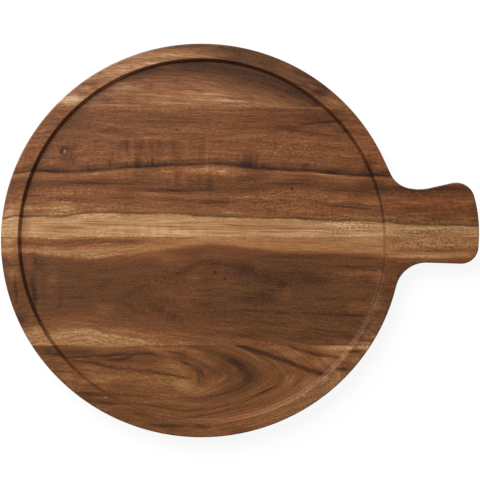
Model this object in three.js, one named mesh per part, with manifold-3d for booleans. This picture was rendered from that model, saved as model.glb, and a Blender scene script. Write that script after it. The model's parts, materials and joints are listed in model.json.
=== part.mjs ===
// Round antipasti board of edge-glued hardwood, with a shallow recess and one short side handle.
// Millimetres, +Z up. The origin is the middle of the round body, on the underside.
// +X runs along the grain, towards the handle, and +Y runs across the planks.

import * as THREE from 'three';
import { mergeVertices } from 'three/addons/utils/BufferGeometryUtils.js';
import Module from 'manifold-3d';

const degrees = THREE.MathUtils.degToRad;

// Round body: a little narrower across the grain, where the wood has shrunk
const THICKNESS = 18;
const DISC_ALONG_GRAIN = 369;
const DISC_ACROSS_GRAIN = 362.4;
const EDGE_ROUND = 1.2;

// Recess: a slight oval, its long way turned a little from the grain. Its mouth is measured at the top
// face, outside the rounded upper edge
const RECESS_DEPTH = 5;
const RECESS_LONG_WAY = 340.4;
const RECESS_SHORT_WAY = 335.6;
const RECESS_TURN = degrees(-18);
const RECESS_SHIFT_TO_HANDLE = 0.8;
const RECESS_LIP_ROUND = 0.6;
const RECESS_WALL_LEAN = degrees(30);
const RECESS_FLOOR_FILLET = 0.6;

// Handle: corner points before rounding, with X counted from the round body's edge
const NECK_UPPER_ANGLE = degrees(24.7);
const NECK_UPPER_RADIUS = 23.4;
const WAIST_REACH = 16.6;
const WAIST_HEIGHT = 46.2;
const WAIST_FALL = degrees(10.7);
const WAIST_RADIUS = 44.6;
const UPPER_CORNER_REACH = 62.6;
const UPPER_CORNER_HEIGHT = 56.6;
const UPPER_CORNER_RADIUS = 17.5;
const END_REACH = 72.1;
const END_HEIGHT = 20.7;
const END_RADIUS = 123;
const LOWER_CORNER_REACH = 69.9;
const LOWER_CORNER_DEPTH = 21.9;
const LOWER_CORNER_RADIUS = 16;
const LOWER_EDGE_RISE = degrees(1.7);
const NECK_LOWER_ANGLE = degrees(13.6);
const NECK_LOWER_RADIUS = 28.4;

// Planks and glue: each joint lies on a plane of constant Y
const MIDDLE_JOINT_OFFSET = 3.2;
const INNER_UPPER_WIDTH = 120;
const INNER_LOWER_WIDTH = 99.9;
const GLUE_FILM = 0.2;

// Smoothness of the round stretches
const DISC_STEPS = 132;
const RECESS_STEPS = 120;
const FILLET_STEP = degrees(9);
const EDGE_ROUND_STEPS = 3;
const PROFILE_ROUND_STEPS = 3;
const MERGE_DISTANCE = 1e-4;
const PLANE_SNAP = 1e-3;

const wasm = await Module();
wasm.setup();

// A point of the round body's outline, and the heading of the outline there, counter-clockwise
function discPoint(angle) {
  const x = (DISC_ALONG_GRAIN / 2) * Math.cos(angle);
  const y = (DISC_ACROSS_GRAIN / 2) * Math.sin(angle);
  return new THREE.Vector2(x, y);
}

function discHeading(angle) {
  const x = (-DISC_ALONG_GRAIN / 2) * Math.sin(angle);
  const y = (DISC_ACROSS_GRAIN / 2) * Math.cos(angle);
  return new THREE.Vector2(x, y).normalize();
}

// Where two straight lines, each given by a point and a direction, cross
function crossing(pointA, directionA, pointB, directionB) {
  const between = pointB.clone().sub(pointA);
  const along = between.cross(directionB) / directionA.cross(directionB);
  return pointA.clone().addScaledVector(directionA, along);
}

// The length that a rounding takes from each edge at a corner, and half the corner's turn
function cornerCut(before, corner, after, radius) {
  const towards = before.clone().sub(corner).normalize();
  const away = after.clone().sub(corner).normalize();
  const halfTurn = (Math.PI - Math.acos(THREE.MathUtils.clamp(towards.dot(away), -1, 1))) / 2;
  return { towards, away, halfTurn, length: radius * Math.tan(halfTurn) };
}

// Rounds the inner corners of an open line; a radius shrinks where its edges are too short for it
function roundedLine(corners, radii) {
  const last = corners.length - 1;
  const cuts = corners.map((corner, i) =>
    i === 0 || i === last ? { length: 0 } : cornerCut(corners[i - 1], corner, corners[i + 1], radii[i - 1]));
  const room = (i) => corners[i].distanceTo(corners[i + 1]) / (cuts[i].length + cuts[i + 1].length);
  const points = [corners[0]];
  for (let i = 1; i < last; i += 1) {
    const { towards, away, halfTurn, length } = cuts[i];
    const cut = length * Math.min(1, room(i - 1), room(i));
    const radius = cut / Math.tan(halfTurn);
    const inward = towards.clone().add(away).normalize();
    const centre = corners[i].clone().addScaledVector(inward, radius / Math.cos(halfTurn));
    const start = corners[i].clone().addScaledVector(towards, cut).sub(centre);
    const turnsLeft = towards.cross(away) < 0;
    const steps = Math.max(1, Math.ceil((2 * halfTurn) / FILLET_STEP));
    for (let step = 0; step <= steps; step += 1) {
      const turn = ((turnsLeft ? 2 : -2) * halfTurn * step) / steps;
      const spoke = start.clone().rotateAround(new THREE.Vector2(), turn);
      points.push(centre.clone().add(spoke));
    }
  }
  points.push(corners[last]);
  return points;
}

// Handle outline, from the upper neck round the end to the lower neck
function handleOutline() {
  const edge = DISC_ALONG_GRAIN / 2;
  const upperStart = discPoint(NECK_UPPER_ANGLE);
  const lowerEnd = discPoint(-NECK_LOWER_ANGLE);
  const waist = new THREE.Vector2(edge + WAIST_REACH, WAIST_HEIGHT);
  const upperCorner = new THREE.Vector2(edge + UPPER_CORNER_REACH, UPPER_CORNER_HEIGHT);
  const end = new THREE.Vector2(edge + END_REACH, END_HEIGHT);
  const lowerCorner = new THREE.Vector2(edge + LOWER_CORNER_REACH, -LOWER_CORNER_DEPTH);
  const waistDirection = new THREE.Vector2(-Math.cos(WAIST_FALL), Math.sin(WAIST_FALL));
  const lowerDirection = new THREE.Vector2(-Math.cos(LOWER_EDGE_RISE), Math.sin(LOWER_EDGE_RISE));
  const neckUpper = crossing(upperStart, discHeading(NECK_UPPER_ANGLE), waist, waistDirection);
  const neckLower = crossing(lowerEnd, discHeading(-NECK_LOWER_ANGLE), lowerCorner, lowerDirection);
  const corners = [upperStart, neckUpper, waist, upperCorner, end, lowerCorner, neckLower, lowerEnd];
  const radii = [NECK_UPPER_RADIUS, WAIST_RADIUS, UPPER_CORNER_RADIUS, END_RADIUS, LOWER_CORNER_RADIUS,
    NECK_LOWER_RADIUS];
  return roundedLine(corners, radii);
}

// Whole outline, counter-clockwise: round body from the upper to the lower neck, then the handle
function boardOutline() {
  const sweep = 2 * Math.PI - NECK_UPPER_ANGLE - NECK_LOWER_ANGLE;
  const points = [];
  for (let step = 1; step < DISC_STEPS; step += 1) {
    points.push(discPoint(NECK_UPPER_ANGLE + (sweep * step) / DISC_STEPS));
  }
  return [...points, ...handleOutline().reverse()];
}

// Solid of a closed mesh with its shared vertices merged
function solidOf(geometry) {
  geometry.deleteAttribute('normal');
  geometry.deleteAttribute('uv');
  const merged = mergeVertices(geometry, MERGE_DISTANCE);
  const vertProperties = merged.attributes.position.array;
  const triVerts = Uint32Array.from(merged.index.array);
  return new wasm.Manifold(new wasm.Mesh({ numProp: 3, vertProperties, triVerts }));
}

// Board blank: the outline at full thickness, its upper and lower edges rounded
function blankSolid() {
  const geometry = new THREE.ExtrudeGeometry(new THREE.Shape(boardOutline()), {
    depth: THICKNESS - 2 * EDGE_ROUND,
    bevelEnabled: true,
    bevelThickness: EDGE_ROUND,
    bevelSize: EDGE_ROUND,
    bevelOffset: -EDGE_ROUND,
    bevelSegments: EDGE_ROUND_STEPS,
  });
  geometry.translate(0, 0, EDGE_ROUND);
  return solidOf(geometry);
}

// Recess profile, radius against height: floor, fillet, leaning wall, rounded lip, then up out of the wood
function recessProfile() {
  const floor = THICKNESS - RECESS_DEPTH;
  const mouth = RECESS_LONG_WAY / 2;
  const lean = RECESS_WALL_LEAN;
  const lipDrop = RECESS_LIP_ROUND * (1 - Math.sin(lean));
  const lipWidth = RECESS_LIP_ROUND * Math.cos(lean);
  const filletRise = RECESS_FLOOR_FILLET * (1 - Math.sin(lean));
  const filletWidth = RECESS_FLOOR_FILLET * Math.cos(lean);
  const wallWidth = (RECESS_DEPTH - lipDrop - filletRise) * Math.tan(lean);
  const floorRadius = mouth - lipWidth - wallWidth - filletWidth;
  const profile = [new THREE.Vector2(0, floor), new THREE.Vector2(floorRadius, floor)];
  for (let step = 1; step <= PROFILE_ROUND_STEPS; step += 1) {
    const turn = ((Math.PI / 2 - lean) * step) / PROFILE_ROUND_STEPS;
    const x = floorRadius + RECESS_FLOOR_FILLET * Math.sin(turn);
    const y = floor + RECESS_FLOOR_FILLET * (1 - Math.cos(turn));
    profile.push(new THREE.Vector2(x, y));
  }
  for (let step = PROFILE_ROUND_STEPS; step >= 0; step -= 1) {
    const turn = ((Math.PI / 2 - lean) * step) / PROFILE_ROUND_STEPS;
    const x = mouth - RECESS_LIP_ROUND * Math.sin(turn);
    const y = THICKNESS - RECESS_LIP_ROUND * (1 - Math.cos(turn));
    profile.push(new THREE.Vector2(x, y));
  }
  profile.push(new THREE.Vector2(mouth, THICKNESS + RECESS_DEPTH));
  profile.push(new THREE.Vector2(0, THICKNESS + RECESS_DEPTH));
  return profile;
}

function recessSolid() {
  const geometry = new THREE.LatheGeometry(recessProfile(), RECESS_STEPS);
  geometry.rotateX(Math.PI / 2);
  geometry.scale(1, RECESS_SHORT_WAY / RECESS_LONG_WAY, 1);
  geometry.rotateZ(RECESS_TURN);
  geometry.translate(RECESS_SHIFT_TO_HANDLE, 0, 0);
  return solidOf(geometry);
}

// Slab between two planes of constant Y, larger than the board in X and Z
function slabSolid(lowY, highY) {
  const reach = DISC_ALONG_GRAIN + END_REACH;
  const geometry = new THREE.BoxGeometry(2 * reach, 1, 4 * THICKNESS);
  const position = geometry.attributes.position;
  for (let i = 0; i < position.count; i += 1) {
    position.setY(i, position.getY(i) < 0 ? lowY : highY);
  }
  return solidOf(geometry);
}

// Mesh of the board's wood, or glue, between two planes, whose cut faces lie exactly on those planes
function sliceMesh(name, board, lowY, highY, material) {
  const mesh = board.intersect(slabSolid(lowY, highY)).getMesh();
  const position = new THREE.BufferAttribute(mesh.vertProperties, 3);
  for (let i = 0; i < position.count; i += 1) {
    const plane = [lowY, highY].find((y) => Math.abs(position.getY(i) - y) < PLANE_SNAP);
    if (plane !== undefined) position.setY(i, plane);
  }
  const geometry = new THREE.BufferGeometry();
  geometry.setAttribute('position', position);
  geometry.setIndex(new THREE.BufferAttribute(mesh.triVerts, 1));
  const slice = new THREE.Mesh(geometry, material);
  slice.name = name;
  return slice;
}

function oiledWood(color) {
  return new THREE.MeshStandardMaterial({ color, roughness: 0.5, metalness: 0 });
}

const curedGlue = () => new THREE.MeshStandardMaterial({ color: 0x4a2f1c, roughness: 0.6, metalness: 0 });

// Joint planes, from the upper edge down
const jointYs = [
  MIDDLE_JOINT_OFFSET + INNER_UPPER_WIDTH,
  MIDDLE_JOINT_OFFSET,
  MIDDLE_JOINT_OFFSET - INNER_LOWER_WIDTH,
];
const jointTop = (joint) => jointYs[joint] + GLUE_FILM / 2;
const jointBottom = (joint) => jointYs[joint] - GLUE_FILM / 2;
const beyond = DISC_ACROSS_GRAIN;

const wood = blankSolid().subtract(recessSolid());
const board = new THREE.Group();
board.name = 'antipasti_board';
board.add(sliceMesh('stave_1_outer_upper', wood, jointTop(0), beyond, oiledWood(0x7f5740)));
board.add(sliceMesh('stave_2_inner_upper', wood, jointTop(1), jointBottom(0), oiledWood(0x82573a)));
board.add(sliceMesh('stave_3_inner_lower', wood, jointTop(2), jointBottom(1), oiledWood(0x6e4830)));
board.add(sliceMesh('stave_4_outer_lower', wood, -beyond, jointBottom(2), oiledWood(0x724b2f)));
jointYs.forEach((y, joint) => {
  board.add(sliceMesh(`glue_joint_${joint + 1}`, wood, jointBottom(joint), jointTop(joint), curedGlue()));
});

export default board;
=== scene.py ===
"""Looks of the round antipasti board: smooth plank meshes, wood with a satin oil finish and soft studio
light.
"""
import json
import math
from collections import namedtuple

import bmesh
import bpy
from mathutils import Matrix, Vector


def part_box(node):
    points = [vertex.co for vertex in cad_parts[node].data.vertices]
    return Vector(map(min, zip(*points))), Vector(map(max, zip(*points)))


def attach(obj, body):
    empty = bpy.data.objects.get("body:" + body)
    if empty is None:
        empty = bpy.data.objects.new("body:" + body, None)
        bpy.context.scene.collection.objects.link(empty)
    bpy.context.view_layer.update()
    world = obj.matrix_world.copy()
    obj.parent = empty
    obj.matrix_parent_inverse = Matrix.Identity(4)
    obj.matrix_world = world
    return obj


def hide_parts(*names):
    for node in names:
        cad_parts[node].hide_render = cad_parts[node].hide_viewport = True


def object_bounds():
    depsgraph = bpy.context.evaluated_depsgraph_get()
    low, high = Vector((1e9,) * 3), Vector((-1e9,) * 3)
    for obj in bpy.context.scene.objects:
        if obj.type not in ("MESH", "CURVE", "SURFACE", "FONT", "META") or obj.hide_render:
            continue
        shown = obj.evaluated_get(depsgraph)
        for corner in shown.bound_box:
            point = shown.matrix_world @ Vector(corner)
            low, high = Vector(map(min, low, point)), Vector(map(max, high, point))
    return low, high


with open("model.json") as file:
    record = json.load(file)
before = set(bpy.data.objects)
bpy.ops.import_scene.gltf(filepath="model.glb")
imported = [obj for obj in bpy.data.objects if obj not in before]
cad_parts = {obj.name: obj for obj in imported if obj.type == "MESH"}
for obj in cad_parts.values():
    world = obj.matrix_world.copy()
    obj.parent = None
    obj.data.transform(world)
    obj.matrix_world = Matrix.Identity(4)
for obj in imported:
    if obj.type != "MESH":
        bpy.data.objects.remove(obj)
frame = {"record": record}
cad_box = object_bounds()

# Sizes of the board, in metres, from the frame
MM = 0.001
LOW, HIGH = (Vector(corner) for corner in cad_box)
THICKNESS = HIGH.z
DISC_X = -LOW.x
DISC_Y = HIGH.y
MOUNTS = {mount["name"]: mount["pos_m"] for mount in frame["record"]["mounts"]}
FLOOR_Z = MOUNTS["recess_floor"][2]
RECESS_DEPTH = THICKNESS - FLOOR_Z

# Sizes of the recess and the rounded edges
EDGE_ROUND = 1.2 * MM
RECESS_LONG = 170.2 * MM
RECESS_SHORT = 167.8 * MM
RECESS_TURN = math.radians(-18)
RECESS_SHIFT = Vector((0.8, 0)) * MM
LIP_ROUND = 0.6 * MM
FLOOR_FILLET = 0.6 * MM
WALL_LEAN = math.radians(30)

# Handle corners before rounding: reach past the round body's edge, height, and radius
NECK_UPPER_ANGLE = math.radians(24.7)
NECK_UPPER_RADIUS = 23.4 * MM
WAIST = (16.6 * MM, 46.2 * MM, 44.6 * MM)
WAIST_FALL = math.radians(10.7)
UPPER_CORNER = (62.6 * MM, 56.6 * MM, 17.5 * MM)
HANDLE_END = (72.1 * MM, 20.7 * MM, 123 * MM)
LOWER_CORNER = (69.9 * MM, -21.9 * MM, 16 * MM)
LOWER_EDGE_RISE = math.radians(1.7)
NECK_LOWER_ANGLE = math.radians(-13.6)
NECK_LOWER_RADIUS = 28.4 * MM

# Smoothness of the meshes
DISC_STEPS = 560
RECESS_STEPS = 600
FILLET_STEP = math.radians(2.5)
ROUND_STEPS = 8
SHARP_ANGLE = math.radians(35)
CUT_TOLERANCE = 1e-8

# The photograph's frame: figure units are its pixels, measured on the board
PHOTO_PIXELS = 480
PIXEL = 0.92 * MM
DISC_CENTRE_U = 201.25
DISC_CENTRE_V = 240.45


def disc_point(angle):
    return Vector((DISC_X * math.cos(angle), DISC_Y * math.sin(angle)))


def disc_heading(angle):
    return Vector((-DISC_X * math.sin(angle), DISC_Y * math.cos(angle))).normalized()


def cross(a, b):
    return a.x * b.y - a.y * b.x


def turn(point, angle):
    cos, sin = math.cos(angle), math.sin(angle)
    return Vector((cos * point.x - sin * point.y, sin * point.x + cos * point.y))


def crossing(point_a, direction_a, point_b, direction_b):
    """Where two straight lines, each given by a point and a direction, cross."""
    along = cross(point_b - point_a, direction_b) / cross(direction_a, direction_b)
    return point_a + along * direction_a


def rounded_line(corners, radii):
    """Points along an open line whose inner corners are rounded."""
    points = [corners[0]]
    for before, corner, after, radius in zip(corners, corners[1:], corners[2:], radii):
        towards = (before - corner).normalized()
        away = (after - corner).normalized()
        sweep = math.pi - towards.angle(away)
        centre = corner + (towards + away).normalized() * radius / math.cos(sweep / 2)
        spoke = corner + towards * radius * math.tan(sweep / 2) - centre
        side = math.copysign(1, -cross(towards, away))
        steps = math.ceil(sweep / FILLET_STEP)
        for step in range(steps + 1):
            points.append(centre + turn(spoke, side * sweep * step / steps))
    points.append(corners[-1])
    return points


def board_outline():
    """Outline seen from above, counter-clockwise: round body, then the handle from below."""
    corners = WAIST, UPPER_CORNER, HANDLE_END, LOWER_CORNER
    waist, upper, end, lower = (Vector((DISC_X + reach, height)) for reach, height, _ in corners)
    start = disc_point(NECK_UPPER_ANGLE)
    finish = disc_point(NECK_LOWER_ANGLE)
    fall = Vector((-math.cos(WAIST_FALL), math.sin(WAIST_FALL)))
    rise = Vector((-math.cos(LOWER_EDGE_RISE), math.sin(LOWER_EDGE_RISE)))
    neck_upper = crossing(start, disc_heading(NECK_UPPER_ANGLE), waist, fall)
    neck_lower = crossing(finish, disc_heading(NECK_LOWER_ANGLE), lower, rise)
    radii = [NECK_UPPER_RADIUS, *(radius for _, _, radius in corners), NECK_LOWER_RADIUS]
    handle = rounded_line([start, neck_upper, waist, upper, end, lower, neck_lower, finish], radii)
    sweep = 2 * math.pi + NECK_LOWER_ANGLE - NECK_UPPER_ANGLE
    disc = [disc_point(NECK_UPPER_ANGLE + sweep * step / DISC_STEPS) for step in range(1, DISC_STEPS)]
    return disc + handle[::-1]


def outward_normals(points):
    normals = []
    for i, _ in enumerate(points):
        along = points[(i + 1) % len(points)] - points[i - 1]
        normals.append(Vector((along.y, -along.x)).normalized())
    return normals


def round_angles(sweep=math.pi / 2):
    return [sweep * step / ROUND_STEPS for step in range(ROUND_STEPS + 1)]


def edge_profile():
    """Inset and height round the outer edge, from the underside to the top face."""
    r = EDGE_ROUND
    lower = [(r - r * math.sin(a), r - r * math.cos(a)) for a in round_angles()]
    upper = [(r - r * math.cos(a), THICKNESS - r + r * math.sin(a)) for a in round_angles()]
    return lower + upper


def recess_profile():
    """Inset and height from the recess's mouth down to its floor: lip, leaning wall, fillet."""
    angles = round_angles(math.pi / 2 - WALL_LEAN)
    drop = RECESS_DEPTH - (LIP_ROUND + FLOOR_FILLET) * (1 - math.sin(WALL_LEAN))
    foot = (LIP_ROUND + FLOOR_FILLET) * math.cos(WALL_LEAN) + drop * math.tan(WALL_LEAN)
    lip = [(LIP_ROUND * math.sin(a), THICKNESS - LIP_ROUND * (1 - math.cos(a))) for a in angles]
    fillet = [(foot - FLOOR_FILLET * math.sin(a), FLOOR_Z + FLOOR_FILLET * (1 - math.cos(a)))
              for a in reversed(angles)]
    return lip + fillet


def recess_oval(inset):
    """Points round the recess, inset from its mouth."""
    points = []
    for step in range(RECESS_STEPS):
        angle = 2 * math.pi * step / RECESS_STEPS
        x, y = (RECESS_LONG - inset) * math.cos(angle), (RECESS_SHORT - inset) * math.sin(angle)
        points.append(RECESS_SHIFT + turn(Vector((x, y)), RECESS_TURN))
    return points


def add_ring(mesh, points, z):
    return [mesh.verts.new((point.x, point.y, z)) for point in points]


def skin_rings(mesh, rings):
    for lower, upper in zip(rings, rings[1:]):
        for i, _ in enumerate(lower):
            mesh.faces.new((lower[i - 1], lower[i], upper[i], upper[i - 1]))


def ring_edges(mesh, ring):
    return [mesh.edges.get((ring[i - 1], ring[i])) for i, _ in enumerate(ring)]


def board_mesh():
    """The whole board as one closed mesh, before it is parted into planks."""
    mesh = bmesh.new()
    outline = board_outline()
    normals = outward_normals(outline)
    edge_rings = []
    for inset, z in edge_profile():
        edge_rings.append(add_ring(mesh, [p - n * inset for p, n in zip(outline, normals)], z))
    recess_rings = [add_ring(mesh, recess_oval(inset), z) for inset, z in recess_profile()]
    skin_rings(mesh, edge_rings)
    skin_rings(mesh, recess_rings)
    flats = [edge_rings[0]], [edge_rings[-1], recess_rings[0]], [recess_rings[-1]]
    for rings in flats:
        edges = [edge for ring in rings for edge in ring_edges(mesh, ring)]
        bmesh.ops.triangle_fill(mesh, use_beauty=True, edges=edges)
    bmesh.ops.recalc_face_normals(mesh, faces=mesh.faces[:])
    return mesh


def cut_board(board, low_y, high_y):
    """The part of the board between two planes across the planks, closed at its cuts."""
    mesh = board.copy()
    for y, side in ((low_y, -1), (high_y, 1)):
        everything = mesh.verts[:] + mesh.edges[:] + mesh.faces[:]
        cut = bmesh.ops.bisect_plane(mesh, geom=everything, dist=CUT_TOLERANCE, plane_co=(0, y, 0),
                                     plane_no=(0, side, 0), clear_outer=True)
        edges = [item for item in cut["geom_cut"] if isinstance(item, bmesh.types.BMEdge)]
        if edges:
            filled = bmesh.ops.edgeloop_fill(mesh, edges=edges)
            bmesh.ops.triangulate(mesh, faces=filled["faces"])
    bmesh.ops.recalc_face_normals(mesh, faces=mesh.faces[:])
    return mesh


def add_object(name, data):
    thing = bpy.data.objects.new(name, data)
    bpy.context.scene.collection.objects.link(thing)
    return thing


def add_mesh(name, mesh, material):
    data = bpy.data.meshes.new(name)
    mesh.to_mesh(data)
    mesh.free()
    data.materials.append(material)
    return add_object(name, data)


def add_piece(name, mesh, node, material):
    """A finished piece that stands for one CAD node."""
    piece = add_mesh(name, mesh, material)
    piece.data.shade_smooth()
    piece.data.set_sharp_from_angle(angle=SHARP_ANGLE)
    normals = piece.modifiers.new("flat faces stay flat", "WEIGHTED_NORMAL")
    normals.keep_sharp = True
    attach(piece, "root")
    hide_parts(node)


class Graph:
    """The node tree of a material or world. Its calls add nodes, and most return a node's output."""

    def __init__(self, owner):
        owner.use_nodes = True
        self.owner = owner
        self.tree = owner.node_tree
        self.tree.nodes.clear()

    def node(self, kind, *inputs, **settings):
        node = self.tree.nodes.new("ShaderNode" + kind)
        for key, value in settings.items():
            setattr(node, key, value)
        for socket, value in zip(node.inputs, inputs):
            self.feed(socket, value)
        return node

    def named(self, kind, inputs):
        """A node whose inputs are given by name."""
        node = self.node(kind)
        for name, value in inputs.items():
            self.feed(node.inputs[name], value)
        return node

    def feed(self, socket, value):
        if isinstance(value, bpy.types.NodeSocket):
            self.tree.links.new(value, socket)
        else:
            socket.default_value = value

    def show(self, shader, kind="Material"):
        """Ends the tree with a shader as its surface."""
        self.named("Output" + kind, {"Surface": shader.outputs[0]})

    def math(self, operation, a, b=0.0, c=0.0):
        return self.node("Math", a, b, c, operation=operation).outputs[0]

    def product(self, a, b):
        return self.math("MULTIPLY", a, b)

    def plus(self, a, factor, start):
        """The start value with a share of a added."""
        return self.math("MULTIPLY_ADD", a, factor, start)

    def vector(self, operation, a, b=(0, 0, 0), c=(0, 0, 0)):
        return self.node("VectorMath", a, b, c, operation=operation).outputs[0]

    def dot(self, a, b):
        return self.node("VectorMath", a, b, operation="DOT_PRODUCT").outputs["Value"]

    def length(self, a):
        return self.node("VectorMath", a, operation="LENGTH").outputs["Value"]

    def scaled(self, a, factor):
        node = self.node("VectorMath", a, operation="SCALE")
        self.feed(node.inputs["Scale"], factor)
        return node.outputs[0]

    def split(self, a):
        return self.node("SeparateXYZ", a).outputs

    def join(self, x, y, z):
        return self.node("CombineXYZ", x, y, z).outputs[0]

    def span(self, value, low, high, to_low=0.0, to_high=1.0, smooth=False):
        """Maps low to high onto to_low to to_high, and holds the ends."""
        kind = "SMOOTHSTEP" if smooth else "LINEAR"
        node = self.node("MapRange", value, low, high, to_low, to_high, interpolation_type=kind)
        return node.outputs[0]

    def noise(self, place, size, detail=2.0, rough=0.5):
        """Noise from 0 to 1 whose grains measure about size along each axis."""
        grains = self.vector("MULTIPLY", place, tuple(1 / s for s in size))
        inputs = {"Vector": grains, "Scale": 1, "Detail": detail, "Roughness": rough}
        return self.named("TexNoise", inputs).outputs["Fac"]

    def swing(self, place, size, detail=2.0, rough=0.5):
        """The same noise from -0.5 to 0.5."""
        return self.math("SUBTRACT", self.noise(place, size, detail, rough), 0.5)

    def curve(self, value, points, x_top, y_top):
        """A smooth curve through the points. The value is a share of x_top, the result one of y_top."""
        node = self.node("FloatCurve", 1.0, value)
        knots = node.mapping.curves[0].points
        while len(knots) < len(points):
            knots.new(0.5, 0.5)
        for knot, (x, y) in zip(knots, points):
            knot.location = (x / x_top, y / y_top)
            knot.handle_type = "AUTO_CLAMPED"
        node.mapping.extend = "HORIZONTAL"
        node.mapping.update()
        return node.outputs[0]

    def ramp(self, value, stops):
        node = self.node("ValToRGB", value)
        elements = node.color_ramp.elements
        while len(elements) < len(stops):
            elements.new(1.0)
        for element, (place, colour) in zip(elements, stops):
            element.position = place
            element.color = (*colour, 1)
        return node.outputs["Color"]

    def blend(self, factor, a, b, kind="FLOAT", first=2, output=0):
        """a where the factor is 0, and b where it is 1."""
        node = self.node("Mix", data_type=kind)
        for number, value in ((0, factor), (first, a), (first + 1, b)):
            self.feed(node.inputs[number], value)
        return node.outputs[output]

    def tinted(self, colour, factor, tint, plain=(1, 1, 1)):
        """The colour times the tint where the factor is 1, and times the plain tint where it is 0."""
        return self.vector("MULTIPLY", colour, self.mix(factor, plain, tint))

    def mix(self, factor, a, b):
        """The same as blend with two colours."""
        return self.blend(factor, (*a, 1), (*b, 1), "RGBA", 6, 2)


def linear(red, green, blue):
    """A screen colour, 0 to 255, as a linear colour."""
    shares = (channel / TONE_TOP for channel in (red, green, blue))
    return tuple(s / 12.92 if s <= 0.04045 else ((s + 0.055) / 1.055) ** 2.4 for s in shares)


# Wood tones: a tone is the red level of the colour, 0 to 255
TONE_TOP = 255
WOOD_COLOURS = [
    (20, 12, 8), (56, 37, 27), (82, 54, 38), (100, 66, 43), (116, 75, 49), (127, 82, 53), (138, 90, 58),
    (150, 101, 66), (162, 113, 74), (178, 133, 91), (192, 148, 106), (222, 184, 140),
]

# Light that the satin surface itself gives back on top of the wood's colour, and the least share of a
# seen colour that is the wood's own
SHEEN = 0.0185
OWN_SHARE = 0.15

# Fibres: length, thickness, and share of the tone they change. The lift makes up for the dark pores
FIBRES = [(90, 5.0, 0.42), (34, 1.9, 0.5), (13, 0.9, 0.55)]
FLECKS = (3.4, 1.6, 1.05)
SLANTED_FIBRES = (4.5, 1.7, 1.15)
LONG_FIBRES = (50, 1.3, 1.05)
BAND_FIBRES = (16, 1.5, 0.55)
SPECKLES = (2.0, 1.3, 0.5)
FIBRE_ROUGH = 0.6
WEAVE_ROUGH = 0.7
LIFT = 1.045

# Tints, by which red, green and blue are multiplied: the first two change from patch to patch, the last
# is the one of the recess wall and the outer side, partly the colour of end grain and partly painted
# shade, and the rest lie where the planks say. PALE on the lit side of the recess wall is painted light
REDDER = (1.03, 0.97, 0.95)
YELLOWER = (0.98, 1.03, 1.04)
# Paler and greyer patches, laid on the rim only
PALER = (1.02, 1.06, 1.13)
OLIVE = (0.98, 1.16, 1.24)
RED = (1.05, 0.96, 0.98)
ORANGE = (1.02, 0.93, 0.85)
GOLDEN = (0.99, 1.06, 0.93)
GREYER = (1.0, 1.065, 1.2)
ASHEN = (0.95, 1.2, 1.5)
PALE = (1.0, 1.15, 1.33)
STEEP_REDDER = (1.0, 0.87, 0.76)

# Noise: grain sizes along, across and down the plank, in figure units, and what the noise does
SMOOTH_DETAIL = 1.0
WAVER = (70, 24, 24)
WAVER_ALONG = 9.0
WAVER_ACROSS = 2.5
JAG = (14, 3, 3)
JAG_OF_LAYERS = 2.4
JAG_OF_SPOTS = 1.8
CURL = (7, 60, 60)
BREAKS = (22, 9, 9)
BREAK_RANGE = (0.34, 0.64)
BREAK_SHARES = (0.62, 1.08)
HUE_PATCHES = (40, 8, 8)
HUE_RANGE = (0.3, 0.7)
PORES = (2.4, 1.25, 1.25)
PORE_RANGE = (0.46, 0.64)
PORE_DEPTH = 0.05
PORED_DEPTH = 0.25
RELIEF = (9, 0.9, 0.9)
RELIEF_STRENGTH = 0.15
RELIEF_HEIGHT = 0.3 * MM

# Steep faces, by the square of the normal's upright part. They are darkened, most of all end grain:
# partly the end grain's own colour, and partly painted shade that makes the recess wall look shaded
STEEP_RANGE = (0.95, 0.4)
ENDGRAIN_AND_SHADE_TONES = (0.42, 0.62)
ENDGRAIN_AND_SHADE_SHARES = (0.54, 0.32)
PAINTED_STEEP_SHADE = 0.1
ROUGHNESS = 0.3
PORE_ROUGHNESS = 0.15
STEEP_ROUGHNESS = 0.25

# Features: shares of the recess depth between which those of the rim set in, share of an oval that has
# its full tone, reach of a streak from its middle as a share of its length, length of a line's soft ends,
# and strength of all tones
RIM_RANGE = (0.25, 0.9)
OVAL_MIDDLE = 0.1
STREAK_REACH = 0.6
LINE_FADE = 10.0
FEATURE_STRENGTH = 1.3

# Growth rings: highest ring with a tone, and grain sizes of their fibres
RING_TOP = 2
RING_LENGTH = 60
RING_WIDTH = 30

# Recess wall in figure units, and widths of the streaks on it that paint shade and light onto the wall
WALL_MIDDLE_U = DISC_CENTRE_U + RECESS_SHIFT.x / PIXEL
WALL_RADIUS = RECESS_LONG / PIXEL
WALL_SHADING_WIDTH = 9
LIT_WALL_WIDTH = 7.5


def bare(colour):
    """The wood's own colour for a colour seen in the photograph."""
    return tuple(max(channel - SHEEN, OWN_SHARE * channel) for channel in linear(*colour))


# Features of the figure, with places and widths in figure units, and the change of tone that they bring.
# A line follows a path, with its own softness above and below. A streak is straight and tapers to both
# ends. A spot is a soft oval. Streaks and spots may lie everywhere, only on the recess floor, or only on
# the rim. A weave is a streak in which other fibres run, at its own angle. An arch is a nest of rings.
FLOOR, EVERYWHERE, RIM = -1, 0, 1
Line = namedtuple("Line", "path above below tone", defaults=[0])
Streak = namedtuple("Streak", "u0 v0 u1 v1 thick tone where", defaults=[0, EVERYWHERE])
Spot = namedtuple("Spot", "u v ru rv tone where", defaults=[0, EVERYWHERE])
Weave = namedtuple("Weave", "u0 v0 u1 v1 thick fibres where", defaults=[EVERYWHERE])
Arch = namedtuple("Arch", "u v reach above below power start fibres tones")

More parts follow.
